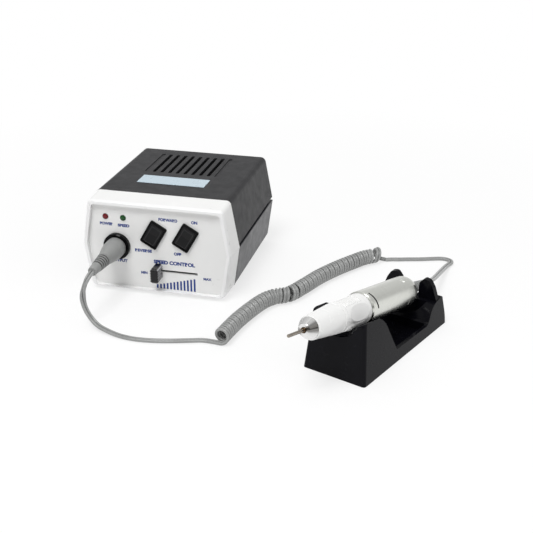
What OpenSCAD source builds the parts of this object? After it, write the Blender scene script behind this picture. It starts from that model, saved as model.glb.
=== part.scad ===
// Nail drill set: control box, curly cord and handpiece lying in its cradle.
// The set stands on the plane z = 0, with the front panel facing -Y.

/* [Control box] */
// Height of the box above the table
case_h = 80; // [74:0.5:92]
// Depth of the dark shells, from the white front to the rear edge
case_d = 112; // [104:0.5:130]
// Width across the top face
top_w = 114; // [106:0.5:122]
// Width across the upper edge of the base
mid_w = 128.4; // [120:0.2:140]
// Width across the underside
low_w = 118; // [110:0.5:126]
// Height of the upper edge of the base, the widest line
seam_z = 40.6; // [37:0.2:45]
// Height of the dark groove along the seam
seam_gap = 2.2; // [1:0.1:3]
// Wall of the box mouldings
wall = 2.5; // [2:0.1:3]
// Radius of the long edges along the top
edge_r = 4.5; // [2:0.5:7]
// Height of the rubber feet
foot_h = 4; // [3:0.5:6]
// Radius of a rubber foot
foot_r = 6; // [4:0.5:8]
// Depth of the white front moulding
front_d = 21.5; // [20:0.5:28]
// How far the control panel lies behind the front rim
recess = 3.5; // [2:0.5:5]
// Wall of the front rim at its edge
rim = 3; // [2.4:0.2:4]
// Wall of the rim along its lower edge
rim_low = 1.5; // [1.2:0.1:3]
// How much narrower each side of the rim is than the shells
rim_taper = 1.9; // [1:0.1:3]
// How much wider each upper corner of the rim is than that
rim_flare = 1.3; // [0:0.1:1.6]
// How far the rim reaches down below the shells
rim_drop = 3; // [0:0.1:3.6]
// Depth of the rear recess that holds the connections
rear_recess = 6; // [5.5:0.5:10]

/* [Vents] */
// Number of open slots in the cover
vent_count = 8; // [4:1:9]
// Distance between neighbouring slots
vent_pitch = 6.9; // [6:0.1:8]
// Length of a slot
vent_len = 48; // [30:1:56]
// Width of a slot
vent_w = 3; // [1.6:0.1:3.4]
// Centre of the slot row behind the front border
vent_y = 75.5; // [66:0.5:80]

/* [Controls] */
// Thickness of the control panel
panel_t = 2.5; // [2:0.1:3.2]
// Diameter of the two lamps
led_d = 5; // [4:0.5:6]
// Height of the lamps below the top of the box
led_down = 15.9; // [14:0.1:20]
// Outer radius of the output socket ring
socket_r = 11.1; // [10.6:0.1:13]
// Width of a rocker switch frame
switch_w = 15; // [14:0.1:17]
// Length of a rocker switch frame
switch_l = 21; // [20:0.1:24]
// Turn of both switches in the panel, clockwise from the front
switch_turn = 30; // [0:1:45]
// Height of both switches above the seam
switch_up = 11.4; // [9:0.2:14]
// Angle between the two resting positions of a rocker
rocker_throw = 18; // [12:1:20]
// Travel of the speed slider
slide_travel = 30; // [20:1:32]
// Height of the slider slot below the seam
slide_down = 19.9; // [18:0.1:23]
// Width of the slider knob
knob_w = 6.6; // [6:0.1:9]
// Height of the slider knob
knob_h = 13; // [10:0.5:16]
// How far the knob stands out of the panel
knob_out = 12; // [8:0.5:15]

/* [Handpiece] */
// Largest radius of the handpiece
body_r = 12.2; // [11.2:0.1:12.4]
// Length of the polished nose cone
nose_len = 6.5; // [6:0.5:9]
// Length of the white front sleeve
sleeve_len = 30; // [26:0.5:34]
// Length of the twist ring
ring_len = 35; // [28:0.5:36]
// Length of the metal collar behind the twist ring
collar_len = 11.2; // [9:0.1:13]
// Width of the slanted slot in the collar
lock_slot_w = 1.3; // [0.8:0.1:2]
// Length of the metal barrel
barrel_len = 44; // [44:0.5:60]
// Length of the rounded rear cap
cap_len = 16.5; // [14:0.5:22]
// Length of the grey boot outside the rear cap
boot_len = 28; // [20:1:36]
// Radius of a bit shank
shank_r = 1.175; // [0.8:0.025:1.25]
// Length of the shank outside the nose
shank_out = 18; // [8:1:30]
// Depth of the thumb scoops in the twist ring
scoop_depth = 2.2; // [1.2:0.1:2.4]

/* [Cradle] */
// Width of the cradle at the table
cradle_w = 51.4; // [49:0.2:60]
// Wall of the cradle
cradle_wall = 2.8; // [2.2:0.1:3.6]
// Height of the handpiece axis above the front wall
rest_z = 46.8; // [44:0.1:50]
// Slope of the handpiece, nose up
rest_tilt = 10.5; // [8:0.1:11]
// How far the nose stands out beyond the front wall
nose_out = 38.5; // [30:0.5:40]
// Length of the front block with its trough
saddle_l = 16; // [12:0.5:20]
// Height of the front ears below the handpiece axis at the front wall
ear_drop = 1.3; // [-1:0.1:3]
// How far the rear ears rise above the rear block
rear_ear_rise = 14.2; // [11:0.1:17]
// Length of the rear block behind its scoop
rear_block_l = 16.4; // [14:0.2:20]
// Radius of the open scoop round the rear cap
scoop_r = 17.3; // [15:0.1:19]
// Height of the low side walls
side_wall_z = 9.7; // [8:0.1:14]
// Draft of the cradle's flanks, inwards for each unit of height
flank_draft = 0.09; // [0.02:0.01:0.11]
// Lean of the cradle's front wall, backwards for each unit of height
front_lean = 0.1; // [0.02:0.01:0.14]

/* [Cord] */
// Width of the flat twin cord
cord_w = 4.8; // [4:0.1:5]
// Thickness of the flat twin cord
cord_t = 2.5; // [2:0.1:2.8]
// Number of curls
curls = 33; // [12:1:33]
// Distance between neighbouring curls
curl_pitch = 5.9; // [5.7:0.05:6]
// Radius of the curls to the middle of the cord
curl_r = 5.35; // [4.5:0.05:6.5]

/* [Hidden] */
$fn = 48;

// General clearances
slip = 0.05;   // a shaft in its bore
loose = 0.2;   // a part dropped into its place
seat = 0.3;    // a resting part above its seat
over = 1;      // how far a cutter runs past the face it cuts

// Places of the box and the cradle in the set
box_at = [-84.5, 27.5, 0];
cradle_at = [79, -88.3, 0];
cradle_turn = 68.1;

// Control box, seen from above: y = 0 is the border of the white front
floor_z = foot_h + wall;
panel_y = recess - front_d;
panel_back = panel_y + panel_t;
screw_x = top_w / 2 - 9;
screw_ys = [20, case_d - 22];
screw_r = 1.5;
boss_r = 4;
head_z = foot_h + 6;
head_r = 2.9;
foot_x = low_w / 2 - 16;
foot_ys = [9, case_d - 10];
rear_y = case_d - rear_recess;
rear_t = 2;
lip_t = 1.2;
lip_h = 4.5;
lip_start = 2;
vent_xs = [for (i = [0:vent_count - 1]) (i - (vent_count - 1) / 2) * vent_pitch - 1.8];
blind_depth = 0.6;

// Controls: x to the right, height above the seam
socket_at = [-34, -1.1];
direction_x = -2.4;
power_x = 24.4;
slide_min_x = 0.6;
slot_h = 2.2;
led_legs = [-1.27, 1.27];
leg_r = 0.3;
led_dome = 1.4;
board_gap = 8;
board_t = 1.6;
led_up = case_h - seam_z - led_down;
post_r = 2;
post_x = half_at(seam_z + led_up, rim_taper + wall) - 2 * post_r - 1;
indicator_posts = [-post_x, 30 - post_x];
led_xs = [indicator_posts[0] + 7.5, indicator_posts[1] - 7.5];

// Rocker switches
bezel_t = 1.8;
switch_body = [switch_w - 2, switch_l - 1.8];
switch_open = [switch_w - 3.6, switch_l - 3.2];
switch_depth = 13;
pivot_down = 2.5;
pivot_r = 1.2;
rocker_half = switch_open.y / 2 - 1;
rocker_w = switch_open.x - 2 * loose;
rocker_top = bezel_t + pivot_down + 0.3;
rocker_low = 3.5;
blade = [0.8, 4, 8];
blade_gap = 6;

// Slider
pot_wall = 1.2;
pot_d = 7.5;
pot_h = 9;
carriage = [8, pot_h - 2 * pot_wall - 2 * loose, 4];
tab = [4, 1.2];
slot_l = slide_travel + tab.x + 2;
pot_l = slide_travel + carriage.x + 2 * pot_wall + 2;
slot_mid = slide_min_x + slide_travel / 2;
knob_off = 0.6;
knob_pocket = 6;

// Handpiece stations, measured from the nose tip towards the cord
sleeve_t = nose_len + 0.1;
ring_t = nose_len + sleeve_len;
collar_t = ring_t + ring_len;
barrel_t = collar_t + collar_len;
housing_end = barrel_t - 2.2;
lock_end = housing_end - 0.9;
cap_t = barrel_t + barrel_len;
boot_t = cap_t + cap_len;
cord_end_t = boot_t + boot_len + 0.2;
housing_r = 6.5;
sleeve_r = body_r - 1.4;
nose_r = sleeve_r - 3;
barrel_in = body_r - 0.9;
lock_r = body_r - 1.4;
// Slanted slot of the collar: its middle, its turn about the axis, its slope and its length
lock_slot_t = collar_t + 5.9;
lock_slot_turn = 228;
lock_slot_slope = 11;
lock_slot_len = 13;
boot_r = [5.2, 3.4];
cap_bore = 3.65;

// Motor stations inside the barrel
motor_t = barrel_t + 2;
can_r = barrel_in - 0.1;
can_in = can_r - 0.8;
motor_l = 44;
motor_end = motor_t + motor_l;
end_wall = 3;
magnet_l = 26;
magnet_t = motor_t + end_wall + 1;
magnet_gap = 6;
rotor_slot = 1.8;
comm_r = 3.6;
comm_l = 7;
comm_t = magnet_t + magnet_l + 1;
brush = [2.4, 5.4, 3];
brush_t = comm_t + comm_l / 2;
shaft_r = 1.6;
journal_r = 2.95;
race_r = 4.5;
magnet_r = can_in - 2.4;
coupling_t = collar_t - 5;

// Handpiece inner sizes
collet_r = 1.85;
collet_out = 1.4;
nose_bore = collet_r + seat;
nose_face = 4;
neck_r = 5.2;
bore_lip = 9;
bearing_l = 4;
thrust_l = 1.7;
grip_t = nose_len + 10;
coupling_r = 3.9;
coupling_l = 9;

// Cradle: s along its length from the front wall, w across, z up
cap_s = boot_t * cos(rest_tilt) - nose_out;
scoop_end = cap_s + 4;
tub_floor = 3;
cradle_l = scoop_end + rear_block_l;
tub_end = cradle_l - 29.5;
front_ear_z = rest_z - ear_drop;
rear_z = axis_z(scoop_end) - 2.8;
rear_ear_z = rear_z + rear_ear_rise;
saddle_r = ring_r(station(saddle_l)) + seat;
flare_l = 11;
flare_slope = 0.6;
bed_depth = 7.2;
boot_notch_r = boot_r[0] + seat;
ear_s = [scoop_end + 1.5, scoop_end + 6];

// Rear connections, x from the middle of the box
jack_body_r = 7;
jack_x = -(screw_x - boss_r - jack_body_r - 1);
fuse_x = jack_x + 22;
gland_x = screw_x - 8;
connect_z = 30;
jack_r = 4.5;
jack_bore = 3.2;
fuse_r = 6;
gland_r = 5.5;
gland_bore = 3.3;

// Inner parts
board_size = [78, 34];
board_at = [0, 26];
board_z = floor_z + 8;
board_top = board_z + board_t;
sink_size = [30, 12, 24];
sink_at = [-board_size.x * 0.23, board_at.y + 6];
fins = 5;
fin_gap = 3;
fin_step = 5.6;
chip_size = [10, 4.4, 15];
chip_y = sink_at.y - (sink_size.y + chip_size.y) / 2;
chip_z = 3.5;
cap_r = 8;
cap_h = 25;
cap_x = board_size.x * 0.13;
bridge_size = [15, 6, 12];
bridge_x = board_size.x * 0.37;
bridge_z = 3;
core_size = [58, 34, 48];
core_left = -17;
coil_d = 9.5;
sink_gap = 1.5;
core_at = [core_left + core_size.x / 2, sink_at.y + sink_size.y / 2 + sink_gap + coil_d + core_size.y / 2];
core_screw_x = core_size.x / 2 - 5;
leg_w = 19;
yoke = 10;
window_w = (core_size.x - leg_w - 2 * yoke) / 2;

// Route of the lead, from the plug along the table to the curls
lead_route = [
  [-118.5, -43.5, 39.5], [-118.5, -48.5, 39], [-119.5, -52, 36.5], [-121, -54, 32], [-122, -55.5, 26.5],
  [-121.5, -57, 20.5], [-119, -58.5, 14], [-114, -60.5, 8], [-107, -63.5, 4], [-96.5, -67, 2],
  [-86, -70, 1.3], [-74, -71.5, 1.3], [-61.5, -70.5, 1.3], [-47.5, -67.5, 1.3], [-34, -63.5, 1.3],
  [-25, -61, 1.3]
];
// Route of the tail, from the curls along the table and up to the handpiece
tail_route = [
  [92, 121.5, 1.3], [98.5, 123, 1.3], [106, 125.2, 1.3], [116.5, 128, 1.3], [126, 131.3, 1.3],
  [133, 133.5, 1.3], [138, 133.5, 1.3], [142, 131, 1.3], [143, 126, 1.5], [141, 118.5, 2.3],
  [139, 107, 4.5], [136.4, 83, 10], [134.2, 58, 16.5], [132.3, 45, 20.1]
];
// Middle line of the curls on the table
curl_route = [
  [-12, -61], [-6.5, -30], [4.5, -3], [22.5, 20.5], [40.5, 53], [57, 80], [71, 100.5], [79, 112.5],
  [82.5, 122], [84, 130]
];
// Curls that stand a little apart, and how far
open_curls = [15, 16];
open_gap = 1.6;
last_gap = 5;
curl_z = curl_r + cord_t / 2;
curl_rings = 8;

// Shared functions
function lerp(a, b, f) = a + (b - a) * f;
function unit(v) = v / norm(v);
function ease(x) = x <= 0 ? 0 : x >= 1 ? 1 : x * x * (3 - 2 * x);
function flat(p) = [p.x, p.y, 0];

// One corner of an outline as an arc, and a whole outline with rounded corners
function corner(a, p, b, r, n) = r == 0 ? [p] : let(
    u = unit(a - p), v = unit(b - p), half = acos(u * v) / 2,
    c = p + unit(u + v) * r / sin(half),
    t0 = p + u * r / tan(half) - c, t1 = p + v * r / tan(half) - c,
    a0 = atan2(t0.y, t0.x), turn = (atan2(t1.y, t1.x) - a0 + 540) % 360 - 180
  ) [for (k = [0:n]) c + r * [cos(a0 + turn * k / n), sin(a0 + turn * k / n)]];
function rounded(pts, radii, n = 4) = let(m = len(pts))
  [for (i = [0:m - 1]) each corner(pts[(i + m - 1) % m], pts[i], pts[(i + 1) % m], radii[i], n)];
function box_outline(w, h, r) =
  rounded([[-w, -h] / 2, [w, -h] / 2, [w, h] / 2, [-w, h] / 2], [r, r, r, r]);

// Half width of the box at a height, inside a wall of thickness t
function half_at(z, t = 0) = (z >= seam_z
  ? lerp(mid_w, top_w, (z - seam_z) / (case_h - seam_z))
  : lerp(low_w, mid_w, (z - foot_h) / (seam_z - foot_h))) / 2 - t;
// Six-sided outline of the box, drawn in by t on every side, let down below and widened above
function hexagon(t, r, drop = 0, flare = 0) = let(
    low = half_at(foot_h - drop, t), z0 = foot_h - drop + t, mid = half_at(seam_z, t),
    high = half_at(case_h, t) + flare, z1 = case_h - t)
  rounded([[-low, z0], [low, z0], [mid, seam_z], [high, z1], [-high, z1], [-mid, seam_z]],
    [r, r, r / 2, r, r, r / 2]);

// Height of the handpiece axis over the cradle, and the station there
function axis_z(s) = rest_z - s * tan(rest_tilt);
function station(s) = (s + nose_out) / cos(rest_tilt);

// Radius of the twist ring at a station: it widens towards the collar
function ring_r(t) = lerp(sleeve_r, body_r - 0.2, min((t - ring_t) / (ring_len - 6), 1));

// A tube through rings of points, closed at both ends
function tube_faces(rings, n) = concat(
  [for (i = [0:rings - 2], j = [0:n - 1]) let(a = i * n + j, b = i * n + (j + 1) % n) each
    [[a, b + n, b], [a, a + n, b + n]]],
  [for (j = [1:n - 2]) [0, j, j + 1]],
  [for (j = [1:n - 2]) let(e = (rings - 1) * n) [e, e + j + 1, e + j]]);
// One ring of the flat cord, with its width along side and its thickness along rise
function cord_ring(p, side, rise, n) = [for (j = [0:n - 1]) let(a = 360 * j / n)
  p + side * cos(a) * cord_w / 2 + rise * sin(a) * cord_t / 2];
function heading(pts, i) = unit(pts[min(i + 1, len(pts) - 1)] - pts[max(i - 1, 0)]);
function lead_ring(p, dir, n) = let(side = unit(cross([0, 0, 1], dir)))
  cord_ring(p, side, cross(dir, side), n);

// Middle line of the curls as a smooth curve, by length along it
spline_steps = 8;
function spline(p, i, f) = let(
    a = p[max(i - 1, 0)], b = p[i], c = p[i + 1], d = p[min(i + 2, len(p) - 1)])
  (2 * b + (c - a) * f + (2 * a - 5 * b + 4 * c - d) * f * f + (3 * b - a - 3 * c + d) * f * f * f) / 2;
curl_line = [for (i = [0:len(curl_route) - 2], k = [0:spline_steps - 1])
  spline(curl_route, i, k / spline_steps)];
curl_lengths = [for (i = 0, l = 0; i < len(curl_line);
  l = l + (i + 1 < len(curl_line) ? norm(curl_line[i + 1] - curl_line[i]) : 0), i = i + 1) l];
curl_xs = [for (i = [0:len(curl_line) - 1]) [curl_lengths[i], curl_line[i].x]];
curl_ys = [for (i = [0:len(curl_line) - 1]) [curl_lengths[i], curl_line[i].y]];
function curl_axis(l) = [lookup(l, curl_xs), lookup(l, curl_ys), curl_z];
function curl_dir(l) = unit(curl_axis(l + 4) - curl_axis(max(l - 4, 0)));
function curl_right(l) = cross(curl_dir(l), [0, 0, 1]);
function curl_length(n) = n * curl_pitch + open_gap * (ease(n - open_curls[0]) + ease(n - open_curls[1]))
  + last_gap * ease(n - curls + 1);
function curl_ring(k) = let(n = k / curl_rings, l = curl_length(n), a = 360 * n,
    out = curl_right(l) * sin(a) - [0, 0, cos(a)])
  cord_ring(curl_axis(l) + curl_r * out, curl_dir(l), -out, 6);
curl_end = curl_length(curls);
function curl_foot(l, step) = curl_axis(l) - [0, 0, curl_r] + curl_right(l) * step;
curl_start_ring = cord_ring(curl_foot(0, -cord_w), curl_dir(0), [0, 0, 1], 6);
curl_end_ring = cord_ring(curl_foot(curl_end, cord_w), curl_dir(curl_end), [0, 0, 1], 6);
curl_all = concat([curl_start_ring], [for (k = [0:curls * curl_rings]) curl_ring(k)], [curl_end_ring]);
curl_gap = min([for (k = [1:(curls - 1) * curl_rings], a = curl_all[k], b = curl_all[k + curl_rings])
  norm(a - b)]);
echo(str("least gap between curls: ", curl_gap, " mm"));

// Frames of reference
module in_box() translate(box_at) children();
module on_panel(x, up) in_box() translate([x, panel_y, seam_z + up]) rotate([90, 0, 0]) children();
module on_rear(x) in_box() translate([x, rear_y, connect_z]) rotate([-90, 0, 0]) children();
module in_cradle() translate(cradle_at) rotate([0, 0, cradle_turn]) children();
module along_axis() translate([-nose_out, 0, axis_z(-nose_out)]) rotate([0, 90 + rest_tilt, 0]) children();
module in_hand() in_cradle() along_axis() children();

// Extrusions of an outline between two places along an axis
module prism_y(y0, y1) translate([0, y1, 0]) rotate([90, 0, 0]) linear_extrude(y1 - y0) children();
module prism_s(s0, s1) translate([s0, 0, 0]) rotate([90, 0, 90]) linear_extrude(s1 - s0) children();
module flank(half) rotate([90, 0, 0]) linear_extrude(2 * half, center = true) children();
module slab(z0, z1) translate([0, 0, z0]) linear_extrude(z1 - z0) children();
module turned(profile) rotate_extrude($fn = 64) polygon(profile);
module rod(r, z0, z1) translate([0, 0, z0]) cylinder(r = r, h = z1 - z0);
module block(size, at) translate(at) cube(size, center = true);

// Control box shells
module shell_screws() for (x = [-screw_x, screw_x], y = screw_ys) translate([x, y, 0]) children();

// Two ribs inside a shell that hold the rear panel between them
module panel_ribs(outline, inner) {
  for (y = [rear_y - rear_t - loose - 1.8, rear_y + loose]) prism_y(y, y + 1.8) difference() {
    polygon(outline);
    polygon(inner);
  }
}

module top_cover() color("#403f40") in_box() {
  z0 = seam_z + seam_gap;
  outer = rounded([[-half_at(z0), z0], [half_at(z0), z0], [top_w / 2, case_h], [-top_w / 2, case_h]],
    [0.6, 0.6, edge_r, edge_r]);
  difference() {
    union() {
      difference() {
        prism_y(0, case_d) polygon(outer);
        prism_y(-over, case_d + over) polygon(cover_inner(wall, z0 - over));
      }
      panel_ribs(cover_inner(wall - 0.3, z0), cover_inner(wall + 2, z0 - over));
      shell_screws() rod(boss_r, seam_z, case_h - wall / 2);
    }
    shell_screws() rod(screw_r - loose, seam_z - over, seam_z + 12);
    for (x = vent_xs) translate([x, vent_y, 0]) slab(case_h - wall - over, case_h + over)
      polygon(box_outline(vent_w, vent_len, vent_w * 0.48));
    for (x = [vent_xs[0] - vent_pitch, vent_xs[vent_count - 1] + vent_pitch]) translate([x, vent_y, 0])
      slab(case_h - blind_depth, case_h + over) polygon(box_outline(vent_w, vent_len, vent_w * 0.48));
  }
}
function cover_inner(t, z) =
  [[-half_at(z, t), z], [half_at(z, t), z],
   [half_at(case_h, t), case_h - t], [-half_at(case_h, t), case_h - t]];

function base_inner(t, z) =
  [[-half_at(foot_h, t), foot_h + t], [half_at(foot_h, t), foot_h + t],
   [half_at(min(z, seam_z), t), z], [-half_at(min(z, seam_z), t), z]];

module base_shell() color("#4a4c53") in_box() {
  z1 = seam_z;
  outer = rounded([[-low_w / 2, foot_h], [low_w / 2, foot_h], [half_at(z1), z1], [-half_at(z1), z1]],
    [edge_r, edge_r, 0.6, 0.6]);
  lip_x = half_at(seam_z + lip_h, wall + loose) - lip_t / 2;
  difference() {
    union() {
      difference() {
        prism_y(0, case_d) polygon(outer);
        prism_y(-over, case_d + over) polygon(base_inner(wall, z1 + over));
      }
      panel_ribs(base_inner(wall - 0.3, z1), base_inner(wall + 2, z1 + over));
      for (x = [-lip_x, lip_x]) lip(x, z1);
      shell_screws() rod(boss_r, foot_h + wall / 2, seam_z);
      for (p = board_posts()) translate(p) rod(3, foot_h + wall / 2, board_z);
    }
    shell_screws() {
      rod(screw_r + loose, foot_h - over, seam_z + over);
      rod(head_r + seat, foot_h - over, head_z);
    }
    for (x = [-1, 1]) translate([core_at.x + x * core_screw_x, core_at.y, 0])
      rod(screw_r - loose, foot_h + 0.8, floor_z + over);
  }
}
// Tongue of the base that stands up behind the seam groove
module lip(x, z1) translate([x, 0, 0]) {
  z0 = z1 - 2 * wall;
  z2 = seam_z + lip_h;
  out = sign(x) * wall;
  prism_y(lip_start, rear_y - rear_t - 3) translate([0, (z0 + z2) / 2])
    square([lip_t, z2 - z0], center = true);
  prism_y(lip_start, rear_y - rear_t - 3)
    polygon([[0, z0], [0, z1 - 1], [out + sign(x), z1 - 1], [out / 2, z0]]);
}
function board_posts() = [for (x = [-1, 1], y = [-1, 1])
  [board_at.x + x * (board_size.x / 2 - 4), board_at.y + y * (board_size.y / 2 - 4), 0]];

// The white front: a six-sided tray that narrows to its rim, with the panel sunk into it
front_r = 4;
module front_panel() color("#f2f2f2") in_box() difference() {
  union() {
    difference() {
      front_skin();
      prism_y(-front_d - over, panel_y)
        polygon(hexagon(rim_taper + rim, front_r - 1, rim_drop + rim - rim_low, rim_flare));
      prism_y(panel_back, over) polygon(hexagon(rim_taper + wall, front_r - 1));
    }
    for (x = indicator_posts) translate([x, 0, seam_z + led_up]) rotate([-90, 0, 0])
      rod(post_r, panel_back - 0.5, panel_back + board_gap);
  }
  panel_cut(socket_at.x, socket_at.y) rod(socket_r - 1, -panel_t - over, over);
  for (x = led_xs) panel_cut(x, led_up) rod(led_d / 2 + slip, -panel_t - over, over);
  for (x = [direction_x, power_x]) panel_cut(x, switch_up) rotate(-switch_turn)
    block([switch_body.x + loose, switch_body.y + loose, 2 * panel_t + 2 * over], [0, 0, -panel_t / 2]);
  panel_cut(slot_mid, -slide_down) block([slot_l, slot_h, 2 * panel_t + 2 * over], [0, 0, -panel_t / 2]);
}
module panel_cut(x, up) translate([x, panel_y, seam_z + up]) rotate([90, 0, 0]) children();
module front_skin() {
  depths = [0, -front_d + 2, -front_d + 0.6, -front_d];
  insets = [0.15, rim_taper - 0.2, rim_taper + 0.15, rim_taper + 0.9];
  shares = [0, 1, 1, 1];
  rings = [for (i = [0:3]) let(f = shares[i])
    [for (p = hexagon(insets[i], front_r, rim_drop * f, rim_flare * f)) [p.x, depths[i], p.y]]];
  n = len(rings[0]);
  polyhedron([for (r = rings) each r], tube_faces(4, n));
}

module rear_panel() color("#3a3a3c") in_box() difference() {
  prism_y(rear_y - rear_t, rear_y) polygon(rounded(
    [[-half_at(foot_h, wall + loose), floor_z + loose], [half_at(foot_h, wall + loose), floor_z + loose],
     [half_at(seam_z, wall + loose), seam_z], [half_at(case_h, wall + loose), case_h - wall - loose],
     [-half_at(case_h, wall + loose), case_h - wall - loose], [-half_at(seam_z, wall + loose), seam_z]],
    [2, 2, 2, 2, 2, 2]));
  for (c = [[jack_x, jack_r], [fuse_x, fuse_r], [gland_x, gland_r]])
    translate([c[0], rear_y, connect_z]) rotate([-90, 0, 0]) rod(c[1] + 2 * slip, -rear_t - over, over);
}

module foot(x, y) color("#1d1d1f") in_box() translate([x, y, 0])
  turned([[0, 0], [foot_r - 1, 0], [foot_r - 0.4, 0.4], [foot_r, foot_h], [0, foot_h]]);
module foot_front_left() foot(-foot_x, foot_ys[0]);
module foot_front_right() foot(foot_x, foot_ys[0]);
module foot_rear_left() foot(-foot_x, foot_ys[1]);
module foot_rear_right() foot(foot_x, foot_ys[1]);

module case_screws() color("#8d8f92") in_box() shell_screws() difference() {
  core = screw_r - loose - slip;
  turned([[0, foot_h + 3.4], [head_r, foot_h + 3.4], [head_r, head_z], [core, head_z], [core, seam_z + 10],
    [0, seam_z + 11]]);
  for (a = [0, 90]) rotate(a) block([3, 0.7, 1.6], [0, 0, foot_h + 3.4]);
}

// Output socket and the lamps
module output_socket() color("#161617") on_panel(socket_at.x, socket_at.y) {
  body = socket_r - 1 - slip;
  hole = socket_r - 2.4;
  difference() {
    turned([[0, -8], [body, -8], [body, 0], [socket_r, 0], [socket_r, 3.2], [socket_r - 0.8, 4],
      [hole, 4], [hole, -5], [0, -5]]);
    for (a = [0:45:180]) rotate(a) translate([4, 0, 0]) rod(0.85, -8 - over, -5 + over);
  }
}
module led() {
  r = led_d / 2;
  turned(concat(
    [[0, -panel_t - 2.5], [r + 0.4, -panel_t - 2.5], [r + 0.4, -panel_t], [r, -panel_t], [r, 0]],
    [for (a = [15:15:75]) [r * cos(a), led_dome * sin(a)]], [[0, led_dome]]));
  for (x = led_legs) translate([x, 0, 0]) rod(leg_r, -panel_t - board_gap - board_t, -panel_t - 2);
}
module power_led() color("#7a1a24") on_panel(led_xs[0], led_up) led();
module speed_led() color("#1f5f28") on_panel(led_xs[1], led_up) led();
module indicator_board() color("#2f6b3c") on_panel(0, led_up) difference() {
  l = indicator_posts[1] - indicator_posts[0] + 2 * post_r + 1;
  mid = (indicator_posts[0] + indicator_posts[1]) / 2;
  top = -panel_t - board_gap;
  block([l, 10, board_t], [mid, 0, top - board_t / 2]);
  for (x = led_xs, d = led_legs) translate([x + d, 0, 0])
    rod(leg_r + slip, top - board_t - over, top + over);
}

// Rocker switches, with the long way along y and the front along z
module switch_frame() difference() {
  union() {
    slab(0, bezel_t) polygon(box_outline(switch_w, switch_l, 1.4));
    slab(-switch_depth, 0) square(switch_body, center = true);
  }
  block([switch_open.x, switch_open.y, 14], [0, 0, -1]);
  translate([0, 0, -pivot_down]) rotate([0, 90, 0])
    cylinder(r = pivot_r + slip, h = switch_body.x + over, center = true);
}
// At rest the upper end is pressed in and the lower end stands out
module rocker() translate([0, 0, -pivot_down]) rotate([-rocker_throw / 2, 0, 0]) {
  rise = rocker_half * tan(rocker_throw / 2);
  rotate([90, 0, 90]) linear_extrude(rocker_w, center = true) polygon(rounded(
    [[-rocker_half, rocker_top + rise], [-rocker_half, 2], [-3, -rocker_low], [3, -rocker_low],
     [rocker_half, 2], [rocker_half, rocker_top + rise], [0, rocker_top]], [0.5, 1, 0.5, 0.5, 1, 0.5, 3]));
  rotate([0, 90, 0]) cylinder(r = pivot_r, h = switch_body.x - 0.3, center = true);
}
module at_switch(x) on_panel(x, switch_up) rotate(-switch_turn) children();
module direction_switch_frame() color("#1a1a1c") at_switch(direction_x) switch_frame();
module power_switch_frame() color("#1a1a1c") at_switch(power_x) switch_frame();
module direction_rocker() color("#131315") at_switch(direction_x) rocker();
module power_rocker() color("#131315") at_switch(power_x) rocker();
// Solder blades: six on the reversing switch, two on the mains switch
module switch_terminals() color("#c9b36a") {
  at = -switch_depth - blade.z / 2;
  at_switch(direction_x) for (x = [-1, 1], y = [-1, 0, 1])
    block(blade, [x * blade_gap / 2, y * blade_gap, at]);
  at_switch(power_x) for (y = [-1, 1]) block([blade.y, blade.x, blade.z], [0, y * blade.y, at]);
}

// Speed slider
module slide_potentiometer() color("#9a9ca0") on_panel(slot_mid, -slide_down) difference() {
  block([pot_l, pot_h, pot_d], [0, 0, -panel_t - pot_d / 2]);
  block([pot_l - 2 * pot_wall, pot_h - 2 * pot_wall, pot_d - 2 * pot_wall], [0, 0, -panel_t - pot_d / 2]);
  block([slot_l, slot_h + 1, 2 * pot_wall + over], [0, 0, -panel_t]);
}
module slider_lever() color("#b9bbbe") on_panel(slide_min_x, -slide_down) {
  block(carriage, [0, 0, -panel_t - pot_wall - loose - carriage.z / 2]);
  z0 = -panel_t - pot_wall - loose - 1;
  block([tab.x, tab.y, knob_off + knob_pocket - z0], [0, 0, (knob_off + knob_pocket + z0) / 2]);
}
// Grip ribs run from front to back on both sides of the knob
module slider_knob() color("#151517") on_panel(slide_min_x, -slide_down) difference() {
  ribs = 5;
  rib_in = 1;
  step = (knob_h - 2) / ribs;
  half = knob_w / 2;
  side = [for (i = [0:ribs - 1]) each
    [[half - rib_in, -knob_h / 2 + 1 + step * i], [half, -knob_h / 2 + 1 + step * (i + 0.3)],
     [half, -knob_h / 2 + 1 + step * (i + 0.7)]]];
  right = concat([[half - 1.2, -knob_h / 2]], side,
    [[half - rib_in, knob_h / 2 - 1], [half - 1.2, knob_h / 2]]);
  left = [for (i = [len(right) - 1:-1:0]) [-right[i].x, right[i].y]];
  slab(knob_off, knob_out) polygon(concat(right, left));
  block([tab.x, tab.y, 2 * knob_pocket], [0, 0, knob_off]);
  for (s = [-1, 1]) translate([0, s * knob_h / 2, knob_out]) rotate([45, 0, 0])
    block([knob_w + over, 1.6, 1.6], [0, 0, 0]);
}

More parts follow.
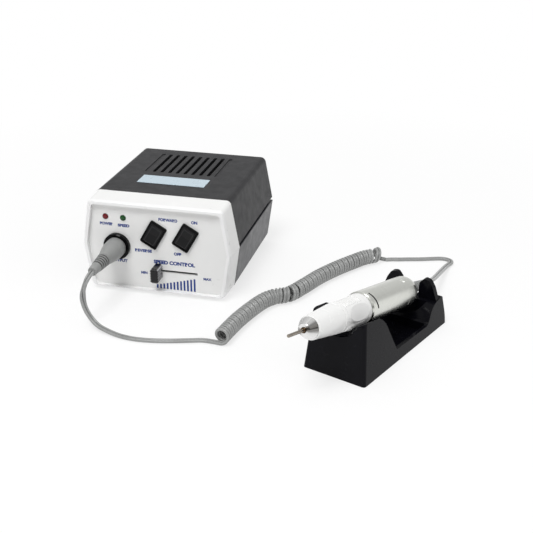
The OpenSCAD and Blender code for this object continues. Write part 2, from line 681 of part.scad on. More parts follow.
// Boards and power supply
module control_board() color("#2f6b3c") in_box() translate([board_at.x, board_at.y, 0])
  slab(board_z, board_top) polygon(box_outline(board_size.x, board_size.y, 1));
module heat_sink() color("#a7a9ab") in_box() translate([sink_at.x, sink_at.y, board_top]) difference() {
  block(sink_size, [0, 0, sink_size.z / 2]);
  for (i = [0:fins - 1]) block([fin_gap, sink_size.y - 3, sink_size.z + 2 * over],
    [(i - (fins - 1) / 2) * fin_step, 3, sink_size.z / 2]);
}
module power_transistor() color("#202022") in_box() translate([sink_at.x, chip_y, board_top]) {
  block(chip_size, [0, 0, chip_z + chip_size.z / 2]);
  for (x = [-2.5, 0, 2.5]) block([0.8, 0.6, chip_z + 1], [x, 0, (chip_z + 1) / 2]);
}
module capacitor() color("#2a3f73") in_box() translate([cap_x, board_at.y, board_top])
  turned([[0, 0], [cap_r - 0.6, 0], [cap_r, 0.6], [cap_r, 1.8], [cap_r - 0.4, 2.3], [cap_r, 2.8],
    [cap_r, cap_h - 1], [cap_r - 0.8, cap_h], [0, cap_h]]);
module rectifier() color("#202022") in_box() translate([bridge_x, board_at.y, board_top]) {
  block(bridge_size, [0, 0, bridge_z + bridge_size.z / 2]);
  for (i = [-1.5, -0.5, 0.5, 1.5])
    block([0.9, 0.9, bridge_z + 1], [i * bridge_size.x / 4, 0, (bridge_z + 1) / 2]);
}
module at_core() in_box() translate([core_at.x, core_at.y, floor_z]) children();
module transformer_core() color("#6f6a66") at_core() difference() {
  block(core_size, [0, 0, core_size.z / 2]);
  for (s = [-1, 1]) block([window_w, core_size.y + 2 * over, core_size.z - 2 * yoke],
    [s * (leg_w + window_w) / 2, 0, core_size.z / 2]);
  for (s = [-1, 1]) translate([s * core_screw_x, 0, 0]) rod(screw_r + loose, -over, core_size.z + over);
}
module transformer_winding() color("#b58a4a") at_core()
  translate([0, 0, core_size.z / 2]) difference() {
    h = core_size.z - 2 * yoke - 2 * loose;
    w = leg_w + 2 * window_w - 2 * loose;
    slab(-h / 2, h / 2) polygon(box_outline(w, core_size.y + 2 * coil_d, 4));
    block([leg_w + 2 * loose, core_size.y + 2 * loose, h + 2 * over], [0, 0, 0]);
  }
module transformer_screws() color("#8d8f92") at_core() for (s = [-1, 1])
  translate([s * core_screw_x, 0, 0])
    turned([[0, -wall + 1], [screw_r - loose - slip, -wall + 1], [screw_r - loose - slip, core_size.z],
      [3, core_size.z], [3, core_size.z + 1.6], [2.2, core_size.z + 2.2], [0, core_size.z + 2.2]]);

// Connections at the rear
module foot_pedal_jack() color("#2a2a2c") on_rear(jack_x) difference() {
  union() {
    turned([[0, -16], [jack_body_r, -16], [jack_body_r, -rear_t], [jack_r, -rear_t], [jack_r, 4], [0, 4]]);
    rod(6.5, 0, 2.2, $fn = 6);
  }
  rod(jack_bore, -12, 4 + over);
}
module fuse_holder() color("#1c1c1e") on_rear(fuse_x) difference() {
  turned([[0, -14], [fuse_r - 1, -14], [fuse_r, -12], [fuse_r, 0], [fuse_r + 1.4, 0], [fuse_r + 1.4, 1.6],
    [fuse_r - 0.2, 1.6], [fuse_r - 0.6, 5], [0, 5]]);
  block([7, 1, 2.4], [0, 0, 5]);
}
module mains_gland() color("#1c1c1e") on_rear(gland_x) difference() {
  turned([[0, -6], [gland_r + 1.3, -6], [gland_r + 1.3, -rear_t], [gland_r, -rear_t], [gland_r, 0],
    [gland_r + 1.5, 0], [gland_r + 1.5, 1.5], [gland_r - 0.1, 5], [0, 5]]);
  rod(gland_bore, -6 - over, 5 + over);
}

// Plug on the lead, pushed into the output socket
plug_r = socket_r - 2.4 - seat;
plug_front = -3;
plug_taper = 30;
plug_sleeve = 44;
plug_len = 53;
module plug_contacts() color("#c4c6c8") on_panel(socket_at.x, socket_at.y) {
  turned([[6.2, -4.8], [6.6, -4.8], [6.6, plug_front], [6.2, plug_front]]);
  for (a = [0:45:180]) rotate(a) translate([4, 0, 0]) rod(0.75, -7.5, plug_front);
}
module plug_body() color("#939493") on_panel(socket_at.x, socket_at.y)
  turned([[0, plug_front], [plug_r, plug_front], [plug_r, 13], [plug_r - 0.3, 14.5], [7.2, 20], [5.8, 27],
    [5.6, plug_taper], [0, plug_taper]]);
// A tapered boot with grooves all round
function boot_profile(z0, z1, r0, r1, ribs, cut) = let(step = (z1 - z0) / ribs) concat([[0, z0]],
  [for (i = [0:ribs - 1]) let(r = lerp(r0, r1, i / (ribs - 1)), z = z0 + i * step) each
    [[r, z], [r, z + step * 0.55], [r - cut, z + step * 0.62], [r - cut, z + step * 0.94]]],
  [[r1 - cut, z1], [0, z1]]);
module plug_boot() color("#8c8d8c") on_panel(socket_at.x, socket_at.y) {
  turned(boot_profile(plug_taper, plug_sleeve, 5.4, 4.6, 5, 1.1));
  turned([[0, plug_sleeve - 1], [3.4, plug_sleeve - 1], [3.4, plug_sleeve], [4.2, plug_sleeve],
    [3.7, plug_len - 0.6], [3.2, plug_len], [0, plug_len]]);
}

// The cord, in three lengths
module cord_tube(pts, first, last) {
  n = len(pts);
  rings = [for (i = [0:n - 1]) lead_ring(pts[i], i == 0 ? first : i == n - 1 ? last : heading(pts, i), 8)];
  polyhedron([for (r = rings) each r], tube_faces(n, 8));
}
module cord_lead() color("#949594") cord_tube(
  concat(lead_route, [curl_foot(0, -cord_w)]), [0, -1, 0], curl_right(0));
module cord_curl() color("#949594")
  polyhedron([for (r = curl_all) each r], tube_faces(len(curl_all), 6));
// The tail leaves the curls square to their last ring and enters the boot along its axis
hand_dir = let(h = [cos(rest_tilt), 0, -sin(rest_tilt)])
  [h.x * cos(cradle_turn), h.x * sin(cradle_turn), h.z];
hand_tip = cradle_at + [-nose_out * cos(cradle_turn), -nose_out * sin(cradle_turn), axis_z(-nose_out)];
boot_end = hand_tip + hand_dir * cord_end_t;
module cord_tail() color("#949594") cord_tube(
  concat([curl_foot(curl_end, cord_w)], tail_route, [boot_end + hand_dir * cord_w, boot_end]),
  curl_right(curl_end), -hand_dir);

// Cradle: high ears in front, an open tub, and a scooped ramp with two ears behind
module cradle() color("#232326") in_cradle() difference() {
  union() {
    intersection() {
      flank(cradle_w) polygon(cradle_side());
      cradle_skin();
    }
    for (side = [0, 1]) mirror([0, side, 0]) prism_s(ear_s[0], ear_s[1]) polygon(rear_ear());
  }
  prism_s(saddle_l, tub_end) polygon(rounded(
    [[-tub_half(tub_floor), tub_floor], [tub_half(tub_floor), tub_floor],
     [tub_half(cradle_top), cradle_top], [-tub_half(cradle_top), cradle_top]], [2, 2, 0, 0]));
  front_saddle();
  along_axis() rod(scoop_r, station(tub_end - 20), station(scoop_end));
  along_axis() rod(boot_notch_r, station(scoop_end - 3), station(cradle_l + 5));
  translate([0, 0, axis_z(scoop_end)]) slab(-1.5, rear_ear_z) translate([scoop_end + 10, 0])
    square([26, 2 * boot_notch_r + 2 * loose], center = true);
  block([saddle_l - 2 * cradle_wall - 2, cradle_w - 4 * cradle_wall - 2, 50], [saddle_l / 2 + 1, 0, 0]);
  block([5, cradle_w - 4 * cradle_wall - 2, 34], [scoop_end + 5.5, 0, 0]);
}
cradle_top = front_ear_z + 3;
function tub_half(z) = cradle_w / 2 - cradle_wall - flank_draft * z;
// Drafted outer form of the cradle, with rounded upright edges
module cradle_skin() {
  rings = [for (z = [0, cradle_top]) let(s0 = front_lean * z, w = cradle_w - 2 * flank_draft * z)
    [for (p = box_outline(cradle_l - s0, w, 2.2)) [p.x + (cradle_l + s0) / 2, p.y, z]]];
  n = len(rings[0]);
  polyhedron([for (r = rings) each r], tube_faces(2, n));
}
// Outline of the flanks: ear and long sweep in front, low wall, ramp behind
function cradle_side() = rounded(
  [[-over, -over], [-over, front_ear_z - 9], [front_lean * front_ear_z - 1.1, front_ear_z - 9],
   [front_lean * front_ear_z - 0.2, front_ear_z - 0.2], [26.5, front_ear_z + 0.8], [46, side_wall_z],
   [cradle_l - 29.5, side_wall_z - 0.8], [cradle_l - 20.5, rear_z - 2.7], [cradle_l - 5.6, rear_z],
   [cradle_l + 0.2, -over]], [0, 0, 0, 4.5, 24, 1.5, 5, 14, 1.5, 0], 8);
function rear_ear() = rounded(
  [[7.8, rear_z - 12], [8, rear_ear_z - 4], [11.8, rear_ear_z + 0.4], [16.6, rear_ear_z - 0.8],
   [19.8, rear_ear_z - 6], [23, rear_z - 1], [22, rear_z - 12]], [0, 2, 3, 3, 5, 0, 0]);
// The trough under the twist ring: flared mouth in the front wall, open top with sloping beds
module front_saddle() {
  start = -6;
  end = saddle_l + 6;
  mouth = saddle_r + (flare_l - start) * flare_slope;
  along_axis() turned([[0, station(start)], [mouth, station(start)], [saddle_r, station(flare_l)],
    [saddle_r, station(end)], [0, station(end)]]);
  bed = sqrt(saddle_r * saddle_r - bed_depth * bed_depth) - loose;
  along_axis() slab(station(start), station(end + 20)) polygon([[bed_depth, -bed], [bed_depth, bed],
    [0.3, 20.4], [-7, 31], [-40, 31], [-40, -31], [-7, -31], [0.3, -20.4]]);
}

// Handpiece casing, turned about its axis
module nose_cone() color("#c9cacb") in_hand()
  turned([[nose_bore, 0], [4.2, 0], [4.8, 0.7], [nose_r, nose_len - 0.6], [nose_r, nose_len],
    [neck_r + slip, nose_len], [neck_r + slip, nose_face], [nose_bore, nose_face]]);
module front_sleeve() color("#f4f4f4") in_hand()
  turned([[housing_r + slip, sleeve_t], [nose_r + 0.1, sleeve_t], [nose_r + 0.7, sleeve_t + 0.9],
    [sleeve_r, ring_t - 0.6], [sleeve_r - 0.2, ring_t], [housing_r + slip, ring_t]]);
module spindle_housing() color("#b4b6b8") in_hand()
  turned([[race_r - 0.9, nose_face + 0.1], [neck_r, nose_face + 0.1], [neck_r, sleeve_t],
    [housing_r, sleeve_t], [housing_r, housing_end], [race_r + slip, housing_end], [race_r + slip, bore_lip],
    [race_r - 0.9, bore_lip]]);
module collar() color("#bebeb7") in_hand() difference() {
  turned([[lock_r + slip, collar_t], [body_r - 0.9, collar_t], [body_r, collar_t + 1.1],
    [body_r, barrel_t], [barrel_in - slip, barrel_t], [barrel_in - slip, motor_t - 0.2],
    [barrel_in - 2.3, motor_t - 0.2], [housing_r + slip, housing_end],
    [housing_r + slip, lock_end + slip], [lock_r + slip, lock_end + slip]]);
  lock_slot(0);
}
module lock_slot(inset) rotate(lock_slot_turn) translate([body_r, 0, lock_slot_t])
  rotate([lock_slot_slope, 0, 0])
    block([body_r / 2, lock_slot_len - 2 * inset, lock_slot_w - 2 * inset], [0, 0, 0]);
module lock_ring() color("#111112") in_hand() {
  turned([[housing_r + slip, collar_t], [lock_r, collar_t], [lock_r, lock_end],
    [housing_r + slip, lock_end]]);
  intersection() {
    turned([[housing_r + slip, collar_t], [body_r - seat, collar_t], [body_r - seat, lock_end],
      [housing_r + slip, lock_end]]);
    lock_slot(slip);
  }
}
module barrel() color("#bebeb7") in_hand()
  turned([[barrel_in, barrel_t], [body_r, barrel_t], [body_r, cap_t - 0.1],
    [body_r - 0.1, cap_t], [barrel_in, cap_t]]);
module rear_cap() color("#bebeb7") in_hand()
  turned(concat([[barrel_in, cap_t], [body_r - 0.1, cap_t], [body_r, cap_t + 0.1], [body_r, boot_t - 8]],
    [for (a = [15:15:75]) [7.2 + (body_r - 7.2) * cos(a), boot_t - 8 + 8 * sin(a)]],
    [[7.2, boot_t], [cap_bore, boot_t], [cap_bore, boot_t - 3], [8.5, boot_t - 5],
     [barrel_in, boot_t - 9]]));
module handpiece_boot() color("#8c8d8c") in_hand() {
  turned([[0, boot_t - 5.8], [5.6, boot_t - 5.8], [5.6, boot_t - 4.2], [cap_bore - slip, boot_t - 3],
    [cap_bore - slip, boot_t + 0.3], [0, boot_t + 0.3]]);
  turned(boot_profile(boot_t + 0.2, cord_end_t, boot_r[0], boot_r[1], 8, 0.8));
}

// The twist ring that opens the chuck: ribbed lands between three thumb scoops
scoops = 3;
scoop_sweep = 46;
scoop_turn = 250;
scoop_t = ring_t + ring_len * 0.5;
rib_count = 9;
rib_step = 2.3;
rib_arc = 44;
rib_h = 0.5;
module twist_ring() color("#f4f4f4") in_hand() {
  start = ring_t + seat;
  end = collar_t - seat;
  difference() {
    turned([[housing_r + slip, start], [sleeve_r - 0.3, start], [ring_r(start + 0.5), start + 0.5],
      [ring_r(start + 3), start + 3], [ring_r(start + 4) - rib_h, start + 4],
      [ring_r(end - 6) - rib_h, end - 6], [body_r - 0.9, end - 4.5],
      [body_r - 0.9, end - 0.5], [body_r - 1.3, end], [housing_r + slip, end]]);
    for (k = [0:scoops - 1]) rotate(scoop_turn + k * 360 / scoops)
      translate([ring_r(scoop_t) - scoop_depth + scoop_sweep, 0, scoop_t]) rotate([90, 0, 0])
        cylinder(r = scoop_sweep, h = 3 * body_r, center = true, $fn = 96);
  }
  for (k = [0:scoops - 1], i = [0:rib_count - 1]) let(t = start + 5.5 + i * rib_step, r = ring_r(t))
    rotate(scoop_turn + (k + 0.5) * 360 / scoops - rib_arc / 2) translate([0, 0, t])
      rotate_extrude(angle = rib_arc, $fn = 64)
        polygon([[r - rib_h - 0.5, 0], [r, 0.2], [r, 0.9], [r - rib_h - 0.5, 1.1]]);
}

// Rotating line: bit shank, collet, spindle, coupling and motor armature
module test_pin() color("#b9babb") in_hand()
  turned([[0, -shank_out], [shank_r - 0.2, -shank_out], [shank_r, -shank_out + 0.3], [shank_r, grip_t],
    [0, grip_t]]);
module collet() color("#a88b62") in_hand() difference() {
  bore = shank_r + slip / 2;
  turned([[bore, -collet_out], [collet_r - 0.15, -collet_out], [collet_r, 0.4 - collet_out],
    [collet_r, grip_t + 2], [bore, grip_t + 2]]);
  for (a = [0, 60, 120]) rotate(a) block([3 * collet_r, 0.35, nose_len + 6], [0, 0, nose_len / 2 - 2]);
}
module spindle() color("#c2c4c6") in_hand() {
  front = nose_face + 0.4;
  thrust = bore_lip + bearing_l + 0.3;
  bore = collet_r + slip;
  tail = shaft_r - slip;
  end = coupling_t + coupling_l / 2 - 0.1;
  turned([[bore, front], [journal_r, front], [journal_r, thrust], [race_r - 0.8, thrust],
    [race_r - 0.8, thrust + thrust_l], [journal_r, thrust + thrust_l], [journal_r, coupling_t - 0.2],
    [tail, coupling_t - 0.2], [tail, end], [0, end], [0, grip_t + 4], [bore, grip_t + 4]]);
}
module bearing(r0, r1, t0, t1) color("#8f9194") in_hand()
  turned([[r0, t0], [r1, t0], [r1, t1], [r0, t1]]);
module front_bearing() bearing(journal_r + slip, race_r, bore_lip + 0.2, bore_lip + 0.2 + bearing_l);
module rear_bearing() bearing(journal_r + slip, race_r, coupling_t - 2 - bearing_l, coupling_t - 2);
module coupling() color("#5a5c60") in_hand() turned([[shaft_r, coupling_t], [coupling_r, coupling_t],
  [coupling_r, coupling_t + coupling_l], [shaft_r, coupling_t + coupling_l]]);
module armature() color("#9b7448") in_hand() {
  rod(shaft_r - slip, coupling_t + coupling_l / 2 + 0.1, motor_end - 2);
  difference() {
    rod(magnet_r - 0.6, magnet_t + 3, magnet_t + magnet_l - 1);
    for (a = [0:72:288]) rotate(a)
      block([4, rotor_slot, magnet_l + 2 * over], [magnet_r - 1, 0, magnet_t + magnet_l / 2]);
  }
}
module commutator() color("#b9763c") in_hand()
  turned([[shaft_r, comm_t], [comm_r, comm_t], [comm_r, comm_t + comm_l], [shaft_r, comm_t + comm_l]]);

// Motor: can with magnets, and the brush holder that closes it
module motor_can() color("#8f9296") in_hand()
  turned([[shaft_r + 2 * slip, motor_t], [can_r, motor_t], [can_r, motor_end], [can_in, motor_end],
    [can_in, motor_t + end_wall], [shaft_r + 2 * slip, motor_t + end_wall]]);
module motor_magnets() color("#3a3b3e") in_hand() difference() {
  turned([[magnet_r, magnet_t], [can_in - slip, magnet_t], [can_in - slip, magnet_t + magnet_l],
    [magnet_r, magnet_t + magnet_l]]);
  block([3 * can_r, magnet_gap, magnet_l + 2 * over], [0, 0, magnet_t + magnet_l / 2]);
}
module brush_holder() color("#2b2b2d") in_hand() difference() {
  hole = comm_r + 0.6;
  back = comm_t + comm_l + 1;
  turned([[hole, comm_t], [can_in - slip, comm_t], [can_in - slip, motor_end - 0.5],
    [shaft_r + slip, motor_end - 0.5], [shaft_r + slip, back], [hole, back]]);
  block([brush.x + loose, 3 * can_r, brush.z + loose], [0, 0, brush_t]);
}
module carbon_brushes() color("#1b1b1c") in_hand() for (s = [-1, 1])
  block(brush, [0, s * (comm_r + slip + brush.y / 2), brush_t]);

base_shell();
top_cover();
front_panel();
rear_panel();
foot_front_left();
foot_front_right();
foot_rear_left();
foot_rear_right();
case_screws();
output_socket();
power_led();
speed_led();
indicator_board();
direction_switch_frame();
direction_rocker();
power_switch_frame();
power_rocker();
switch_terminals();
slide_potentiometer();
slider_lever();
slider_knob();
control_board();
heat_sink();
power_transistor();
capacitor();
rectifier();
transformer_core();
transformer_winding();
transformer_screws();
foot_pedal_jack();
fuse_holder();
mains_gland();
plug_contacts();
plug_body();
plug_boot();
cord_lead();
cord_curl();
cord_tail();
cradle();
nose_cone();
front_sleeve();
spindle_housing();
collar();
lock_ring();
barrel();
rear_cap();
handpiece_boot();
front_bearing();
rear_bearing();
motor_can();
motor_magnets();
brush_holder();
carbon_brushes();
twist_ring();
spindle();
collet();
test_pin();
coupling();
armature();
commutator();
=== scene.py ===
import bpy
import bmesh
import math
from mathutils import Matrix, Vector


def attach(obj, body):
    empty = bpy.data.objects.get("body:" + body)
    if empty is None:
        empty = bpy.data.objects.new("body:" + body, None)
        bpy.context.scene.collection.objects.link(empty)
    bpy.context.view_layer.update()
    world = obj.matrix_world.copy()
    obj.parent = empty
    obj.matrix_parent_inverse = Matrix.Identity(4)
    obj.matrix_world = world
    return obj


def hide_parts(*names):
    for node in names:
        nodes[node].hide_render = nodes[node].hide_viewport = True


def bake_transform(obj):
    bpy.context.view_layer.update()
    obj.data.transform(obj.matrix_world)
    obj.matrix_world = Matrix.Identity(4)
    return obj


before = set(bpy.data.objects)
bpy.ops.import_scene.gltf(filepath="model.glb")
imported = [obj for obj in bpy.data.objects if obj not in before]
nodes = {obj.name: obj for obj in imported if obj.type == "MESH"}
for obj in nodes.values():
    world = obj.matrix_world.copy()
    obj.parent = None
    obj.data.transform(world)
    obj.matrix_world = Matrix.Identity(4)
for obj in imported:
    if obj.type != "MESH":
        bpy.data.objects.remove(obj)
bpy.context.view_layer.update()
scene = bpy.context.scene
MM = 0.001
UP = Vector((0.0, 0.0, 1.0))

# Places on the box that the solids use too, in millimetres
BOX = Vector((-84.5, 27.5, 0.0))
PANEL_Y = BOX.y - 18.0
TOP_Z = 80.0
SEAM_Z = 40.6
SWITCH_Z = SEAM_Z + 11.4
SWITCH_LEAN = math.radians(30)
DIRECTION_X = -2.4
POWER_X = 24.4
SLIDER_X = 0.6
SLIDER_Z = SEAM_Z - 19.9
KNOB_H = 13.0
KNOB_RIM = 1.0
KNOB_RIBS = 5
RIB_STEP = (KNOB_H - 2 * KNOB_RIM) / KNOB_RIBS

# The handpiece on its stand, as the solids have it: places along it are distances from TIP along HAND
CRADLE = Vector((79.0, -88.3, 0.0))
TURN = math.radians(68.1)
TILT = math.radians(10.5)
NOSE_OUT = 38.5
REST_Z = 46.8
TIP = Vector((CRADLE.x - NOSE_OUT * math.cos(TURN), CRADLE.y - NOSE_OUT * math.sin(TURN),
              REST_Z + NOSE_OUT * math.tan(TILT)))
HAND = Vector((math.cos(TILT) * math.cos(TURN), math.cos(TILT) * math.sin(TURN), -math.sin(TILT)))
SIDE = Vector((-math.sin(TURN), math.cos(TURN), 0.0))
DOWN = SIDE.cross(HAND)
CORD_END_T = 171.4


def panel(x, z, out=0.0):
    """A place on the panel's face, or out millimetres in front of it, in metres."""
    return Vector((BOX.x + x, PANEL_Y - out, z)) * MM


# Camera

CAMERA_PLACE = (0.18403, -0.70146, 0.36738)
CAMERA_DIRECTION = (-0.2207, 0.8831, -0.4137)
CAMERA_LENS = 68.893


def look_from(place, direction, lens):
    data = bpy.data.cameras.new("camera")
    data.lens = lens
    data.sensor_width = 36.0
    data.clip_start = 0.01
    data.clip_end = 20.0
    camera = bpy.data.objects.new("camera", data)
    camera.location = place
    camera.rotation_euler = Vector(direction).to_track_quat("-Z", "Y").to_euler()
    scene.collection.objects.link(camera)
    scene.camera = camera


look_from(CAMERA_PLACE, CAMERA_DIRECTION, CAMERA_LENS)


# Shader nodes and colours

COAT_ROUGH = 0.12
NOISE_ROUGH = 0.55
# Colour sockets of a mix node, which share their names with others
MIX_FIRST = 6
MIX_SECOND = 7
MIX_RESULT = 2


def linear(rgb):
    """A screen colour, 0 to 255, as shaders take it."""
    shares = [c / 255 for c in rgb]
    return tuple(s / 12.92 if s <= 0.04045 else ((s + 0.055) / 1.055) ** 2.4 for s in shares) + (1.0,)


def shaded(colour, share):
    return tuple(c * share for c in colour[:3]) + (1.0,)


class Tree:
    """Short ways to add shader nodes to a tree."""

    def __init__(self, tree):
        self.tree = tree

    def add(self, kind, **values):
        made = self.tree.nodes.new(kind)
        for key, value in values.items():
            if hasattr(made, key):
                setattr(made, key, value)
            else:
                made.inputs[key.replace("_", " ")].default_value = value
        return made

    def link(self, out, into):
        self.tree.links.new(out, into)

    def feed(self, value, into):
        """Set a number, a place or a colour on a socket, or link an output to it."""
        if isinstance(value, (int, float, tuple)):
            into.default_value = value
        else:
            self.link(value, into)

    def span(self, value, low, high, start=0.3, end=0.7):
        """A value that goes from low to high while the given one goes from start to end."""
        made = self.add("ShaderNodeMapRange")
        self.link(value, made.inputs["Value"])
        for key, number in (("From Min", start), ("From Max", end), ("To Min", low), ("To Max", high)):
            self.feed(number, made.inputs[key])
        return made.outputs["Result"]

    def calc(self, how, first, second=0.0):
        made = self.add("ShaderNodeMath", operation=how)
        self.feed(first, made.inputs[0])
        self.feed(second, made.inputs[1])
        return made.outputs["Value"]

    def largest(self, first, *others):
        for other in others:
            first = self.calc("MAXIMUM", first, other)
        return first

    def vector(self, how, first, second=None):
        made = self.add("ShaderNodeVectorMath", operation=how)
        self.feed(first, made.inputs[0])
        if second is not None:
            self.feed(second, made.inputs[1])
        return made.outputs["Value" if how in ("DOT_PRODUCT", "LENGTH") else "Vector"]

    def mix(self, factor, first, second):
        made = self.add("ShaderNodeMix", data_type="RGBA")
        self.link(factor, made.inputs["Factor"])
        self.feed(first, made.inputs[MIX_FIRST])
        self.feed(second, made.inputs[MIX_SECOND])
        return made.outputs[MIX_RESULT]


class Look(Tree):
    """A material, with ways to give it colour, gloss and relief by place on the piece."""

    def __init__(self, name, rough, metal=0.0, coat=0.0, specular=0.5):
        self.material = bpy.data.materials.new(name)
        self.material.use_nodes = True
        super().__init__(self.material.node_tree)
        self.shader = self.tree.nodes["Principled BSDF"]
        self.shader.inputs["Roughness"].default_value = rough
        self.shader.inputs["Metallic"].default_value = metal
        self.shader.inputs["Specular IOR Level"].default_value = specular
        if coat:
            self.shader.inputs["Coat Weight"].default_value = coat
            self.shader.inputs["Coat Roughness"].default_value = COAT_ROUGH
        self.place = self.add("ShaderNodeTexCoord").outputs["Object"]

    def noise(self, scale, detail, source=None):
        made = self.add("ShaderNodeTexNoise", Scale=scale, Detail=detail, Roughness=NOISE_ROUGH)
        self.link(source or self.place, made.inputs["Vector"])
        return made.outputs["Fac"]

    def colour(self, out):
        self.link(out, self.shader.inputs["Base Color"])

    def rough(self, out):
        self.link(out, self.shader.inputs["Roughness"])

    def bump(self, height, strength, depth):
        made = self.add("ShaderNodeBump", Strength=strength, Distance=depth * MM)
        self.link(height, made.inputs["Height"])
        self.link(made.outputs["Normal"], self.shader.inputs["Normal"])

    def clouds(self, dark, light, scale=38.0, detail=4.0):
        """Faint clouds of two colours."""
        return self.mix(self.span(self.noise(scale, detail), 0.0, 1.0), dark, light)

    def gloss(self, low, high, scale=120.0, detail=4.0):
        """Patches that are a little smoother or rougher."""
        self.rough(self.span(self.noise(scale, detail), low, high))

    def grain(self, scale, strength, depth=0.2):
        """Fine even relief."""
        self.bump(self.noise(scale, 2.0), strength, depth)

    def painted_groove_shade(self, colour, reach, rgb, start=0.3, end=0.85):
        """Painted shade: a colour that goes over to a darker one in grooves about as narrow as reach, found
        by ambient occlusion.
        """
        made = self.add("ShaderNodeAmbientOcclusion", samples=8, only_local=True, Distance=reach * MM)
        return self.mix(self.span(made.outputs["AO"], 0.0, 1.0, start, end), linear(rgb), colour)

    def along(self, origin, direction):
        """Distance from origin along a direction, in metres."""
        return self.vector("DOT_PRODUCT", self.vector("SUBTRACT", self.place, tuple(origin)), direction)

    def proud(self, start, end):
        """From 0 to 1 between two distances in front of the panel's face."""
        out = self.along((0.0, PANEL_Y * MM, 0.0), (0.0, -1.0, 0.0))
        return self.span(out, 0.0, 1.0, start * MM, end * MM)

    def painted_reflection_fan(self, spoke):
        """Painted reflection: light above and below the handpiece axis, dark at its sides, with uneven
        borders.
        """
        lean, uneven = 0.5, 0.16
        light = SIDE * math.cos(lean) + DOWN * math.sin(lean)
        around = self.vector("NORMALIZE", self.vector("CROSS_PRODUCT", spoke, tuple(HAND)))
        share = self.calc("ABSOLUTE", self.vector("DOT_PRODUCT", around, tuple(light)))
        ragged = self.span(self.noise(2.2, 3.0, around), -uneven, uneven)
        return self.span(self.calc("ADD", share, ragged), 0.0, 1.0, start=0.25, end=0.85)


# Materials, with distances in millimetres

def plastic(name, rgb, rough, grain=0.06, grain_scale=2600.0, shade=0.9, coat=0.0, specular=0.5,
            groove=None):
    """Moulded plastic: fine grain in the surface, faint clouds of colour and gloss, painted shade in its
    grooves if a groove colour is given.
    """
    spread = 0.06
    look = Look(name, rough, coat=coat, specular=specular)
    base = linear(rgb)
    colour = look.clouds(shaded(base, shade), base)
    if groove:
        # Painted shade: a darker colour in narrow grooves
        colour = look.painted_groove_shade(colour, 1.6, groove, start=0.45, end=0.96)
    look.colour(colour)
    look.gloss(rough - spread, rough + spread)
    look.grain(grain_scale, grain)
    return look.material


def turned_metal(name, rgb, rough, streak, lines, strength, spread, painted_dark_reflection=None):
    """Metal turned on a lathe: fine lines round the handpiece axis, gloss drawn out along it; given a dark
    colour, a painted reflection in dark sectors round the axis.
    """
    shade, cloud_spread = 0.86, 0.03
    look = Look(name, rough, metal=1.0)
    base = linear(rgb)
    spoke = look.vector("SUBTRACT", look.place, tuple(TIP * MM))
    look.link(spoke, look.shader.inputs["Tangent"])
    look.shader.inputs["Anisotropic"].default_value = streak
    cuts = look.add("ShaderNodeTexNoise", noise_dimensions="1D", Scale=lines, Detail=3.0, Roughness=0.7)
    look.link(look.along(TIP * MM, tuple(HAND)), cuts.inputs["W"])
    fine = cuts.outputs["Fac"]
    colour = look.mix(look.span(fine, 0.0, 1.0), shaded(base, shade), base)
    # Painted reflection: dark sectors at the sides of the axis, light above and below it
    if painted_dark_reflection:
        colour = look.mix(look.painted_reflection_fan(spoke), linear(painted_dark_reflection), colour)
    look.colour(colour)
    cloud = look.span(look.noise(60.0, 4.0), rough - cloud_spread, rough + cloud_spread)
    look.rough(look.calc("ADD", look.span(fine, -spread, spread), cloud))
    look.bump(fine, strength, depth=0.1)
    return look.material


def bare_metal(name, rgb, rough, scale=300.0):
    """Plain metal whose duller spots are darker."""
    look = Look(name, rough, metal=1.0)
    base = linear(rgb)
    spots = look.noise(scale, 5.0)
    look.colour(look.mix(look.span(spots, 0.0, 1.0), shaded(base, 0.8), base))
    look.rough(look.span(spots, rough - 0.05, rough + 0.08))
    return look.material


def lens(name, rgb, deep):
    """Coloured lamp plastic, darker towards its root."""
    look = Look(name, 0.2, coat=0.15, specular=0.35)
    look.colour(look.mix(look.proud(-0.5, 1.4), linear(deep), linear(rgb)))
    look.shader.inputs["Subsurface Weight"].default_value = 0.15
    look.shader.inputs["Subsurface Radius"].default_value = (0.0015, 0.0006, 0.0006)
    look.grain(900.0, 0.02)
    return look.material


def front_plastic():
    """White front: the sunk panel has a faintly greyer face than the moulding round it."""
    look = Look("front_white", 0.32, coat=0.15)
    moulding = look.clouds(linear((243, 243, 243)), linear((247, 247, 247)), scale=30.0)
    face = look.clouds(linear((237, 237, 236)), linear((241, 241, 240)), scale=45.0)
    look.colour(look.mix(look.proud(0.1, 0.6), face, moulding))
    look.gloss(0.27, 0.37, scale=150.0)
    look.grain(1800.0, 0.03)
    return look.material


def base_plastic():
    """Grained slate grey, black on the tongue behind the seam groove."""
    look = Look("base_charcoal", 0.4)
    slate = look.clouds(linear((44, 45, 50)), linear((50, 51, 56)))
    tongue = look.span(look.along(UP * SEAM_Z * MM, tuple(UP)), 0.0, 1.0, 0.0, 0.2 * MM)
    look.colour(look.mix(tongue, slate, linear((6, 6, 7))))
    look.gloss(0.34, 0.46)
    look.grain(2300.0, 0.14)
    return look.material


